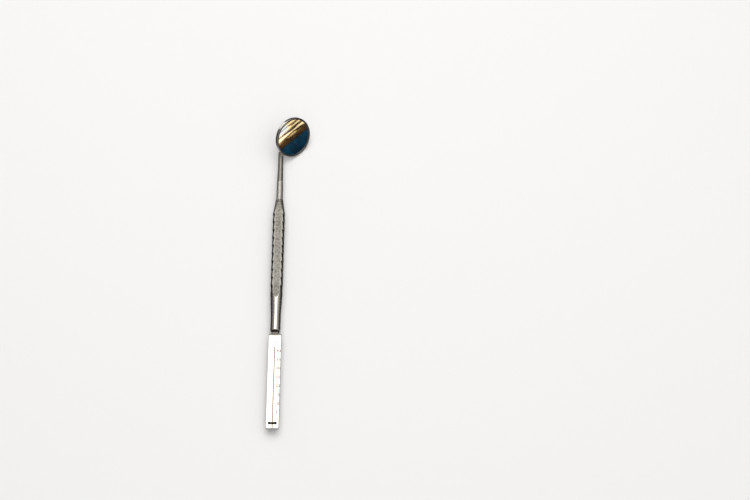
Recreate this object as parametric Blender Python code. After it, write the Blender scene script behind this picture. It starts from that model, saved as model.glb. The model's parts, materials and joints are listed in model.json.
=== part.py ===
"""Mouth mirror with a measuring handle: a round front-surface glass set in a steel cup on a threaded
stem, a turned grip milled flat on two sides, and a ruler blade brazed into the other end.

Metres, +Z up. The handle lies along Y with the mirror at +Y. The origin is the middle of the
grip's lower flat. Run it in Blender's text editor or with blender --background --python part.py.
"""

import math

import bmesh
import bpy
from mathutils import Vector

MM = 0.001

# Clearances
SEAT_GAP = 0.05 * MM  # between faces that rest on, or are joined to, each other
THREAD_GAP = 0.07 * MM  # radial, between the thread's crest and its socket

# Ruler blade
BLADE_LENGTH = 54.4 * MM
BLADE_WIDTH = 6.65 * MM
BLADE_THICKNESS = 1.8 * MM
BLADE_SHOULDER_CUT = 1.1 * MM
BLADE_TIP_CUT = 0.4 * MM
GROOVE_LENGTH = 46.2 * MM
GROOVE_WIDTH = 0.7 * MM
GROOVE_DEPTH = 0.4 * MM
SCALE_ZERO = 3.57 * MM  # from the blade's tip to the scale's zero, where the stop's face stands
STOP_ACROSS = 4.7 * MM
STOP_ALONG = 1.45 * MM
STOP_DEPTH = 0.9 * MM
STOP_PROUD = 0.3 * MM
TANG_LENGTH = 9.0 * MM
TANG_WIDTH = 2.8 * MM
BRAZE_LENGTH = 0.9 * MM
BRAZE_WALL = 0.35 * MM

# Handle
SHAFT_LENGTH = 18.9 * MM
SHAFT_RADIUS = 2.65 * MM
SHAFT_STRAIGHT = 9.5 * MM  # the length at the end that keeps the shaft's radius
SHAFT_RISE = 4.6 * MM  # the length over which it then swells
SHAFT_SWELL = 0.24 * MM
SHAFT_END_CUT = 0.25 * MM
GRIP_RADIUS = 3.36 * MM
FLAT_HEIGHT = 2.34 * MM  # from the axis to each flat
RUN_OUT = 6.7 * MM  # the length over which each flat rises out of the round
LAST_CREST_AT = 2.7 * MM  # from the shaft's end of the run-out
LAST_CREST_DROP = 0.13 * MM
BEAD_COUNT = 10
BEAD_PITCH = 4.86 * MM
BEAD_DEPTH = 0.27 * MM
BEAD_CREST = 1.1 * MM
BEAD_CROWN = 0.03 * MM
BEAD_VALLEY = 0.15 * MM  # the drop halfway to the next crest
BEAD_DROP = 0.45 * MM
FIRST_BEAD = 1.8 * MM  # from the flat's start to the first crest's middle
FLARE_LENGTH = 7.8 * MM
FLARE_SHOULDER_RADIUS = 3.1 * MM
FLARE_END_RADIUS = 2.05 * MM
NECK_LENGTH = 11.9 * MM
NECK_ROOT_RADIUS = 1.83 * MM
NECK_MOUTH_RADIUS = 1.68 * MM
SOCKET_SPARE = 0.6 * MM  # the socket is this much deeper than the thread is long

# Stem
THREAD_LENGTH = 3.5 * MM
THREAD_PITCH = 0.4 * MM
THREAD_RADIUS = 0.98 * MM
THREAD_HEIGHT = 0.18 * MM
THREAD_FLANK = 0.15 * MM  # half the ridge's width where it leaves the core
THREAD_ROOTING = 0.06 * MM
STEM_SHOULDER_RADIUS = 1.63 * MM
STEM_RADIUS = 1.4 * MM
STEM_TAPER = 8.5 * MM
STEM_LENGTH = 19.1 * MM  # from the handle's mouth to the tip under the cup
STEM_TIP_CUT = 0.3 * MM

# Mirror head
HEAD_RADIUS = 11.35 * MM
CUP_WALL = 0.3 * MM
CUP_BEND = 0.5 * MM
LIP_WIDTH = 1.05 * MM
LIP_THICKNESS = 0.3 * MM
LIP_ROUND = 0.28 * MM
GLASS_THICKNESS = 1.0 * MM
GLASS_UNDER_LIP = 0.3 * MM
GLASS_CHAMFER = 0.1 * MM
PAD_THICKNESS = 0.3 * MM
FACE_TILT = math.radians(37.5)  # between the glass and the stem's axis
HEAD_TURN = math.radians(51.3)  # about the stem, from facing up
CUP_OVER_STEM = 1.0 * MM  # the cup's lower back edge stands this far over the stem's axis
CUP_EDGE_BEFORE_TIP = 1.5 * MM  # and this far before the stem's tip
WELD_ACROSS = 3.1 * MM
WELD_ALONG = 1.9 * MM
WELD_HEIGHT = 1.7 * MM
WELD_OVER_STEM = 1.15 * MM  # from the stem's axis to the weld's middle
WELD_BEFORE_TIP = 2.1 * MM

ROUND_STEPS = 40
HEAD_STEPS = 64
THREAD_STEPS = 14
BEND_STEPS = 4
STOP_END_STEPS = 8
WELD_STEPS = 24
EIGHTH_ROUND = 1 - math.cos(math.pi / 4)  # a rounded edge's middle, as a share of its radius

# Places along the handle, measured from the middle of the flats
FLAT_LENGTH_TO_FLARE = FIRST_BEAD + (BEAD_COUNT - 1) * BEAD_PITCH + BEAD_CREST
FLARE_SLOPE = (FLARE_SHOULDER_RADIUS - FLARE_END_RADIUS) / FLARE_LENGTH
FLAT_EXIT = (FLARE_SHOULDER_RADIUS - FLAT_HEIGHT) / FLARE_SLOPE
FLAT_START = -(FLAT_LENGTH_TO_FLARE + FLAT_EXIT) / 2
FLARE_START = FLAT_START + FLAT_LENGTH_TO_FLARE
FLARE_END = FLARE_START + FLARE_LENGTH
MOUTH = FLARE_END + NECK_LENGTH
RUN_OUT_START = FLAT_START - RUN_OUT
SHAFT_END = RUN_OUT_START - SHAFT_LENGTH
BLADE_TOP = SHAFT_END - BRAZE_LENGTH
BLADE_TIP = BLADE_TOP - BLADE_LENGTH
AXIS_HEIGHT = FLAT_HEIGHT

# The cup, in its own frame: the lip's face at 0 and the base below it
GLASS_FACE = -(LIP_THICKNESS + SEAT_GAP)
GLASS_BACK = GLASS_FACE - GLASS_THICKNESS
PAD_FACE = GLASS_BACK - SEAT_GAP
PAD_BACK = PAD_FACE - PAD_THICKNESS
CUP_FLOOR = PAD_BACK - SEAT_GAP
CUP_BACK = CUP_FLOOR - CUP_WALL
LIP_RADIUS = HEAD_RADIUS - LIP_WIDTH
GLASS_RADIUS = LIP_RADIUS + GLASS_UNDER_LIP
POCKET_RADIUS = HEAD_RADIUS - CUP_WALL

# The middle of the lip's face, from the stem's axis at the mouth
HEAD_RISE = (
    CUP_OVER_STEM
    + HEAD_RADIUS * math.sin(FACE_TILT)
    - CUP_BACK * math.cos(FACE_TILT)
)
HEAD_REACH = (
    STEM_LENGTH
    - CUP_EDGE_BEFORE_TIP
    + HEAD_RADIUS * math.cos(FACE_TILT)
    + CUP_BACK * math.sin(FACE_TILT)
)

STEEL_SATIN = ((0.60, 0.57, 0.53), 0.42, 1.0)
STEEL_BRIGHT = ((0.74, 0.72, 0.69), 0.2, 1.0)
STEEL_DARK = ((0.07, 0.06, 0.055), 0.4, 1.0)
BRAZE_METAL = ((0.34, 0.30, 0.26), 0.38, 1.0)
MIRROR_COAT = ((0.86, 0.89, 0.92), 0.02, 1.0)
PAD_FOAM = ((0.80, 0.79, 0.74), 0.8, 0.0)
SEAL_RESIN = ((0.16, 0.15, 0.14), 0.5, 0.0)


def clear_scene():
    """Empty the scene of the objects it opens with."""
    for thing in list(bpy.data.objects):
        bpy.data.objects.remove(thing, do_unlink=True)


def make_material(name, finish):
    """A Principled material from (colour, roughness, metallic)."""
    colour, roughness, metallic = finish
    material = bpy.data.materials.new(name)
    material.use_nodes = True
    shader = material.node_tree.nodes["Principled BSDF"]
    shader.inputs["Base Color"].default_value = (*colour, 1.0)
    shader.inputs["Roughness"].default_value = roughness
    shader.inputs["Metallic"].default_value = metallic
    return material


def add_object(name, shape, parent=None, finish=None):
    """Turn a bmesh into an object, closed and facing out."""
    bmesh.ops.remove_doubles(shape, verts=shape.verts[:], dist=0.0002 * MM)
    bmesh.ops.recalc_face_normals(shape, faces=shape.faces[:])
    mesh = bpy.data.meshes.new(name)
    shape.to_mesh(mesh)
    shape.free()
    thing = bpy.data.objects.new(name, mesh)
    bpy.context.scene.collection.objects.link(thing)
    thing.parent = parent
    if finish is None:
        thing.hide_render = True
        thing.display_type = "WIRE"
    else:
        mesh.materials.append(make_material(name, finish))
    return thing


def shade_round(thing):
    """Smooth shading that keeps the turned edges crisp."""
    thing.data.shade_smooth()
    thing.data.set_sharp_from_angle(angle=math.radians(32))


def turned(outline, steps, axis):
    """A closed solid of revolution. The outline's points are (distance along the axis, radius)."""
    shape = bmesh.new()
    along = Vector(axis)
    points = [shape.verts.new(along * place + Vector((radius, 0, 0))) for place, radius in outline]
    edges = [shape.edges.new(pair) for pair in zip(points, points[1:])]
    bmesh.ops.spin(
        shape,
        geom=points + edges,
        cent=(0, 0, 0),
        axis=along,
        angle=math.tau,
        steps=steps,
        use_merge=True,
    )
    return shape


def extruded(outline, offset):
    """A prism: the outline's 3-D points make one face, which is extruded by offset."""
    shape = bmesh.new()
    face = shape.faces.new([shape.verts.new(point) for point in outline])
    grown = bmesh.ops.extrude_face_region(shape, geom=[face])
    moved = [item for item in grown["geom"] if isinstance(item, bmesh.types.BMVert)]
    bmesh.ops.translate(shape, verts=moved, vec=offset)
    return shape


def block(low, high):
    """A box between two corners."""
    outline = [
        (low[0], low[1], low[2]),
        (high[0], low[1], low[2]),
        (high[0], high[1], low[2]),
        (low[0], high[1], low[2]),
    ]
    return extruded(outline, (0, 0, high[2] - low[2]))


def boolean(thing, operation, tool):
    """Cut the tool from the thing, or join it on."""
    modifier = thing.modifiers.new(tool.name, "BOOLEAN")
    modifier.operation = operation
    modifier.solver = "EXACT"
    modifier.object = tool


def bead_outline():
    """The grip's beads, each a gentle rise towards the ruler end and a short drop behind its crest."""
    root = GRIP_RADIUS - BEAD_DEPTH
    points = []
    for index in range(BEAD_COUNT):
        middle = FLAT_START + FIRST_BEAD + index * BEAD_PITCH
        points += [
            (middle - BEAD_CREST / 2 - BEAD_DROP, root),
            (middle - BEAD_CREST / 2, GRIP_RADIUS - BEAD_CROWN),
            (middle, GRIP_RADIUS),
            (middle + BEAD_CREST / 2, GRIP_RADIUS - BEAD_CROWN),
        ]
        if index < BEAD_COUNT - 1:
            points.append((middle + BEAD_PITCH / 2, GRIP_RADIUS - BEAD_VALLEY))
    return points


def handle_outline():
    """The turned handle, from the bottom of the threaded socket round to the shaft's end."""
    socket_radius = THREAD_RADIUS + THREAD_GAP
    socket_bottom = MOUTH - THREAD_LENGTH - SEAT_GAP - SOCKET_SPARE
    shaft = [
        (RUN_OUT_START + LAST_CREST_AT, GRIP_RADIUS - LAST_CREST_DROP),
        (RUN_OUT_START, GRIP_RADIUS - BEAD_DEPTH),
        (SHAFT_END + SHAFT_STRAIGHT + SHAFT_RISE, SHAFT_RADIUS + SHAFT_SWELL),
        (SHAFT_END + SHAFT_STRAIGHT, SHAFT_RADIUS),
        (SHAFT_END + SHAFT_END_CUT, SHAFT_RADIUS),
        (SHAFT_END, SHAFT_RADIUS - SHAFT_END_CUT),
        (SHAFT_END, 0),
    ]
    neck = [
        (socket_bottom, 0),
        (socket_bottom, socket_radius),
        (MOUTH, socket_radius),
        (MOUTH, NECK_MOUTH_RADIUS),
        (FLARE_END, NECK_ROOT_RADIUS),
        (FLARE_END, FLARE_END_RADIUS),
        (FLARE_START, FLARE_SHOULDER_RADIUS),
    ]
    return neck + bead_outline()[::-1] + shaft


def flat_cutter(side):
    """The milling cut over one flat: level along the grip, then rising out of the shaft."""
    outside = GRIP_RADIUS * 2
    reach = GRIP_RADIUS * 2
    slope = (GRIP_RADIUS - BEAD_DEPTH - FLAT_HEIGHT) / RUN_OUT
    outline = [
        (-reach, RUN_OUT_START - RUN_OUT, side * (FLAT_HEIGHT + 2 * RUN_OUT * slope)),
        (-reach, FLAT_START, side * FLAT_HEIGHT),
        (-reach, FLARE_END, side * FLAT_HEIGHT),
        (-reach, FLARE_END, side * outside),
        (-reach, RUN_OUT_START - RUN_OUT, side * outside),
    ]
    return extruded(outline, (2 * reach, 0, 0))


def make_handle(axis):
    """The one-piece turned and milled bar: neck, flared grip and shaft."""
    handle = add_object(
        "handle_bar", turned(handle_outline(), ROUND_STEPS, (0, 1, 0)), axis, STEEL_SATIN
    )
    boolean(handle, "DIFFERENCE", add_object("upper_flat_cutter", flat_cutter(1), axis))
    boolean(handle, "DIFFERENCE", add_object("lower_flat_cutter", flat_cutter(-1), axis))
    half_width = TANG_WIDTH / 2 + SEAT_GAP
    half_height = BLADE_THICKNESS / 2 + SEAT_GAP
    slot = block(
        (-half_width, SHAFT_END - SHAFT_RADIUS, -half_height),
        (half_width, BLADE_TOP + TANG_LENGTH + SEAT_GAP, half_height),
    )
    boolean(handle, "DIFFERENCE", add_object("tang_slot_cutter", slot, axis))
    shade_round(handle)


def make_blade(axis):
    """The ruler blade with its tang, centre groove and the cross slot that holds the stop."""
    half = BLADE_WIDTH / 2
    tang = TANG_WIDTH / 2
    bottom = -BLADE_THICKNESS / 2
    right = [
        (BLADE_TIP, half - BLADE_TIP_CUT),
        (BLADE_TIP + BLADE_TIP_CUT, half),
        (BLADE_TOP - BLADE_SHOULDER_CUT, half),
        (BLADE_TOP, half - BLADE_SHOULDER_CUT),
        (BLADE_TOP, tang),
        (BLADE_TOP + TANG_LENGTH, tang),
    ]
    outline = [(x, y, bottom) for y, x in right] + [(-x, y, bottom) for y, x in reversed(right)]
    blade = add_object(
        "ruler_blade", extruded(outline, (0, 0, BLADE_THICKNESS)), axis, STEEL_BRIGHT
    )
    over = BLADE_THICKNESS
    top = BLADE_THICKNESS / 2
    spread = GROOVE_WIDTH / 2 * (1 + over / GROOVE_DEPTH)
    groove = extruded(
        [
            (0, BLADE_TIP - over, top - GROOVE_DEPTH),
            (spread, BLADE_TIP - over, top + over),
            (-spread, BLADE_TIP - over, top + over),
        ],
        (0, GROOVE_LENGTH + over, 0),
    )
    boolean(blade, "DIFFERENCE", add_object("groove_cutter", groove, axis))
    slot = stop_shape(SEAT_GAP, top - STOP_DEPTH - SEAT_GAP, top + over)
    boolean(blade, "DIFFERENCE", add_object("stop_slot_cutter", slot, axis))
    blade.data.set_sharp_from_angle(angle=math.radians(32))


def stop_shape(growth, low, high):
    """A bar across the blade with round ends, its near face at the scale's zero."""
    radius = STOP_ALONG / 2
    middle = BLADE_TIP + SCALE_ZERO - radius
    straight = STOP_ACROSS / 2 - radius
    points = []
    for side, start in ((1, -math.pi / 2), (-1, math.pi / 2)):
        for step in range(STOP_END_STEPS + 1):
            angle = start + math.pi * step / STOP_END_STEPS
            points.append(
                (
                    side * straight + (radius + growth) * math.cos(angle),
                    middle + (radius + growth) * math.sin(angle),
                    low,
                )
            )
    return extruded(points, (0, 0, high - low))


def make_stop(axis):
    """The stop pressed across the blade at the scale's zero."""
    top = BLADE_THICKNESS / 2
    shape = stop_shape(0, top - STOP_DEPTH, top + STOP_PROUD)
    add_object("zero_stop", shape, axis, STEEL_DARK)


def make_braze(axis):
    """The brazed collar round the tang, between the blade's shoulders and the shaft."""
    outline = [
        (SHAFT_END - SEAT_GAP, 0),
        (SHAFT_END - SEAT_GAP, SHAFT_RADIUS - SHAFT_END_CUT),
        (BLADE_TOP + SEAT_GAP, TANG_WIDTH / 2 + BRAZE_WALL),
        (BLADE_TOP + SEAT_GAP, 0),
    ]
    braze = add_object("tang_braze", turned(outline, ROUND_STEPS, (0, 1, 0)), axis, BRAZE_METAL)
    half_width = TANG_WIDTH / 2 + SEAT_GAP
    half_height = BLADE_THICKNESS / 2 + SEAT_GAP
    window = block(
        (-half_width, BLADE_TOP - BRAZE_LENGTH, -half_height),
        (half_width, SHAFT_END + BRAZE_LENGTH, half_height),
    )
    boolean(braze, "DIFFERENCE", add_object("braze_window_cutter", window, axis))
    shade_round(braze)


def thread_ridge():
    """The thread's single helical ridge, swept round the stub and sunk a little into its core."""
    core = THREAD_RADIUS - THREAD_HEIGHT
    sunk = core - THREAD_ROOTING
    turns = int((THREAD_LENGTH - 3 * THREAD_PITCH) / THREAD_PITCH)
    start = -THREAD_LENGTH + THREAD_PITCH
    shape = bmesh.new()
    corners = [
        shape.verts.new((sunk, start - THREAD_FLANK, 0)),
        shape.verts.new((THREAD_RADIUS, start, 0)),
        shape.verts.new((sunk, start + THREAD_FLANK, 0)),
    ]
    face = shape.faces.new(corners)
    bmesh.ops.spin(
        shape,
        geom=corners + list(face.edges) + [face],
        cent=(0, 0, 0),
        axis=(0, 1, 0),
        dvec=(0, THREAD_PITCH / THREAD_STEPS, 0),
        angle=math.tau * turns,
        steps=THREAD_STEPS * turns,
    )
    return shape


def make_stem(turn_axis, cup_space):
    """The stem: threaded stub, shoulder, taper and rod, notched under the cup's edge."""
    core = THREAD_RADIUS - THREAD_HEIGHT
    outline = [
        (-THREAD_LENGTH, 0),
        (-THREAD_LENGTH, core - THREAD_HEIGHT),
        (-THREAD_LENGTH + THREAD_HEIGHT, core),
        (SEAT_GAP, core),
        (SEAT_GAP, STEM_SHOULDER_RADIUS),
        (SEAT_GAP + STEM_TAPER, STEM_RADIUS),
        (STEM_LENGTH - STEM_TIP_CUT, STEM_RADIUS),
        (STEM_LENGTH, STEM_RADIUS - STEM_TIP_CUT),
        (STEM_LENGTH, 0),
    ]
    shape = turned(outline, ROUND_STEPS, (0, 1, 0))
    stem = add_object("mirror_stem", shape, turn_axis, STEEL_BRIGHT)
    boolean(stem, "UNION", add_object("thread_ridge", thread_ridge(), turn_axis))
    boolean(stem, "DIFFERENCE", cup_space)
    shade_round(stem)


def cup_back_outline(growth):
    """The cup's back and its round bend, grown outwards."""
    points = [(CUP_BACK - growth, 0)]
    for step in range(BEND_STEPS + 1):
        angle = math.pi / 2 * step / BEND_STEPS
        points.append(
            (
                CUP_BACK + CUP_BEND - (CUP_BEND + growth) * math.cos(angle),
                HEAD_RADIUS - CUP_BEND + (CUP_BEND + growth) * math.sin(angle),
            )
        )
    return points


def make_cup_space(turn_axis, growth):
    """The room that the cup takes, grown on every side, for what is fitted to it."""
    outline = cup_back_outline(growth) + [(growth, HEAD_RADIUS + growth), (growth, 0)]
    return place_on_head(add_object("cup_space", turned(outline, HEAD_STEPS, (0, 0, 1)), turn_axis))


def place_on_head(thing):
    """Tilt a piece made round +Z to the mirror's face, over the stem's end."""
    thing.location = (0, HEAD_REACH, HEAD_RISE)
    thing.rotation_euler = (FACE_TILT, 0, 0)
    return thing


def make_cup(turn_axis):
    """The pressed steel cup with its lip rolled over the glass."""
    outline = cup_back_outline(0) + [
        (-LIP_ROUND, HEAD_RADIUS),
        (-LIP_ROUND * EIGHTH_ROUND, HEAD_RADIUS - LIP_ROUND * EIGHTH_ROUND),
        (0, HEAD_RADIUS - LIP_ROUND),
        (0, LIP_RADIUS + LIP_ROUND),
        (-LIP_ROUND * EIGHTH_ROUND, LIP_RADIUS + LIP_ROUND * EIGHTH_ROUND),
        (-LIP_THICKNESS, LIP_RADIUS),
        (-LIP_THICKNESS, POCKET_RADIUS),
        (CUP_FLOOR, POCKET_RADIUS),
        (CUP_FLOOR, 0),
    ]
    cup = add_object("mirror_cup", turned(outline, HEAD_STEPS, (0, 0, 1)), turn_axis, STEEL_BRIGHT)
    shade_round(place_on_head(cup))


def make_glass(turn_axis):
    """The mirror glass, coated on its face, with a ground edge."""
    outline = [
        (GLASS_BACK, 0),
        (GLASS_BACK, GLASS_RADIUS - GLASS_CHAMFER),
        (GLASS_BACK + GLASS_CHAMFER, GLASS_RADIUS),
        (GLASS_FACE - GLASS_CHAMFER, GLASS_RADIUS),
        (GLASS_FACE, GLASS_RADIUS - GLASS_CHAMFER),
        (GLASS_FACE, 0),
    ]
    glass = add_object("mirror_glass", turned(outline, HEAD_STEPS, (0, 0, 1)), turn_axis, MIRROR_COAT)
    shade_round(place_on_head(glass))


def make_pad(turn_axis):
    """The backing pad between the glass and the cup's floor."""
    outline = [
        (PAD_BACK, 0),
        (PAD_BACK, GLASS_RADIUS),
        (PAD_FACE, GLASS_RADIUS),
        (PAD_FACE, 0),
    ]
    pad = add_object("backing_pad", turned(outline, HEAD_STEPS, (0, 0, 1)), turn_axis, PAD_FOAM)
    shade_round(place_on_head(pad))


def make_seal(turn_axis):
    """The resin ring that seals the glass's edge in the cup."""
    inner = GLASS_RADIUS + SEAT_GAP
    outer = POCKET_RADIUS - SEAT_GAP
    outline = [
        (PAD_FACE, inner),
        (PAD_FACE, outer),
        (GLASS_FACE, outer),
        (GLASS_FACE, inner),
        (PAD_FACE, inner),
    ]
    seal = add_object("edge_seal", turned(outline, HEAD_STEPS, (0, 0, 1)), turn_axis, SEAL_RESIN)
    shade_round(place_on_head(seal))


def make_weld(turn_axis, cup_space):
    """The weld that fills the corner between the stem's end and the cup."""
    shape = bmesh.new()
    bmesh.ops.create_uvsphere(
        shape, u_segments=WELD_STEPS, v_segments=WELD_STEPS // 2, radius=1 / 2
    )
    bmesh.ops.scale(shape, verts=shape.verts[:], vec=(WELD_ACROSS, WELD_ALONG, WELD_HEIGHT))
    weld = add_object("stem_weld", shape, turn_axis, STEEL_SATIN)
    weld.location = (0, STEM_LENGTH - WELD_BEFORE_TIP, WELD_OVER_STEM)
    rod = turned(
        [
            (0, 0),
            (0, STEM_RADIUS + SEAT_GAP),
            (STEM_LENGTH * 2, STEM_RADIUS + SEAT_GAP),
            (STEM_LENGTH * 2, 0),
        ],
        ROUND_STEPS,
        (0, 1, 0),
    )
    boolean(weld, "DIFFERENCE", cup_space)
    boolean(weld, "DIFFERENCE", add_object("rod_space", rod, turn_axis))
    shade_round(weld)


def add_empty(name, location, rotation):
    """An empty to hang pieces on."""
    empty = bpy.data.objects.new(name, None)
    bpy.context.scene.collection.objects.link(empty)
    empty.location = location
    empty.rotation_euler = rotation
    return empty


def build():
    """Model every piece: the handle's on its axis, the mirror head's on the turning axis."""
    clear_scene()
    handle_axis = add_empty("handle_axis", (0, 0, AXIS_HEIGHT), (0, 0, 0))
    turn_axis = add_empty("mirror_turn_axis", (0, MOUTH, AXIS_HEIGHT), (0, HEAD_TURN, 0))
    make_handle(handle_axis)
    make_blade(handle_axis)
    make_stop(handle_axis)
    make_braze(handle_axis)
    cup_space = make_cup_space(turn_axis, SEAT_GAP)
    make_stem(turn_axis, cup_space)
    make_cup(turn_axis)
    make_glass(turn_axis)
    make_pad(turn_axis)
    make_seal(turn_axis)
    make_weld(turn_axis, cup_space)


build()
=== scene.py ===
import json
import logging
import math
from abc import ABC, abstractmethod
from dataclasses import dataclass, field
from enum import Enum
from typing import Callable, Iterable, Sequence

import bmesh
import bpy
from mathutils import Matrix, Vector


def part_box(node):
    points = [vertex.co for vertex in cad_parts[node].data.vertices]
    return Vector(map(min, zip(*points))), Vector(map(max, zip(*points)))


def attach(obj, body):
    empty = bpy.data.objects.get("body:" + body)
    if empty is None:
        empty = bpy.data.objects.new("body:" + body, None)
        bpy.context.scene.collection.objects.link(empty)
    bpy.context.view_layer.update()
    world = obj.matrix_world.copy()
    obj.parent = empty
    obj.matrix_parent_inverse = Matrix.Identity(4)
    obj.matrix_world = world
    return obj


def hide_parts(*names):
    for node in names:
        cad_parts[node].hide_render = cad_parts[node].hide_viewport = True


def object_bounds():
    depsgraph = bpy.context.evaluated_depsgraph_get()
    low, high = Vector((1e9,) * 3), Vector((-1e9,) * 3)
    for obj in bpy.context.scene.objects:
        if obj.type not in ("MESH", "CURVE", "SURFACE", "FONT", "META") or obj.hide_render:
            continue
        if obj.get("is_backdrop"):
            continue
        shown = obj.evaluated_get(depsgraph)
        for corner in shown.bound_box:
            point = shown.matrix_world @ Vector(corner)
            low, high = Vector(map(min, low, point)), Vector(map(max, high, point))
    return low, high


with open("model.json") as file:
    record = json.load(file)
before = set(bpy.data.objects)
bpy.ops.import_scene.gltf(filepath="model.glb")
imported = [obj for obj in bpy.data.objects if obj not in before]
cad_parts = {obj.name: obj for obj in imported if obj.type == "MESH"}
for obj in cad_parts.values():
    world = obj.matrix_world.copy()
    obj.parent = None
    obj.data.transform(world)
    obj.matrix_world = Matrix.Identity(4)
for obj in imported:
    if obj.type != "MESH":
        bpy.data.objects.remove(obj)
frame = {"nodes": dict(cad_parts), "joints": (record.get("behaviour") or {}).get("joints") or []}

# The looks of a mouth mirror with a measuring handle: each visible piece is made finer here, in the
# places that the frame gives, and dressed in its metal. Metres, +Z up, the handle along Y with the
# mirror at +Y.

LOG = logging.getLogger("mouth_mirror")
MM = 0.001
MERGE = 0.0002 * MM
CREASE = math.radians(32)
ON = (0.0, 1.0)
OFF = (1.0, 0.0)
MOST = (0.3, 0.7)  # most of a noise's values lie in here
MIDDLE = (0.35, 0.65)
CORE = (0.42, 0.58)
FINE = 4.0  # a noise's layers
PLAIN = 2.0

Colour = tuple[float, float, float]
Ends = tuple[float, float]
Outline = list[tuple[float, float]]
Stops = Sequence[tuple[float, Colour]]


class Body(Enum):
    """The two rigid bodies that the screwed joint joins."""

    HANDLE = "handle"
    HEAD = "mirror_head"


class Slot(Enum):
    """The record's material slots, one named with most visible pieces."""

    HANDLE = "handle_steel"
    BLADE = "blade_steel"
    STOP = "stop_steel"
    BRAZE = "braze_metal"
    STEM = "stem_steel"
    CUP = "cup_steel"
    MIRROR = "mirror_coat"


class Side(Enum):
    """The grip's two flats."""

    UPPER = 1
    LOWER = -1


class Tick(Enum):
    """The scale's two lengths of line."""

    SHORT = "short"
    LONG = "long"


# ---------------------------------------------------------------------------------------------
# Finishes
# ---------------------------------------------------------------------------------------------


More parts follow.
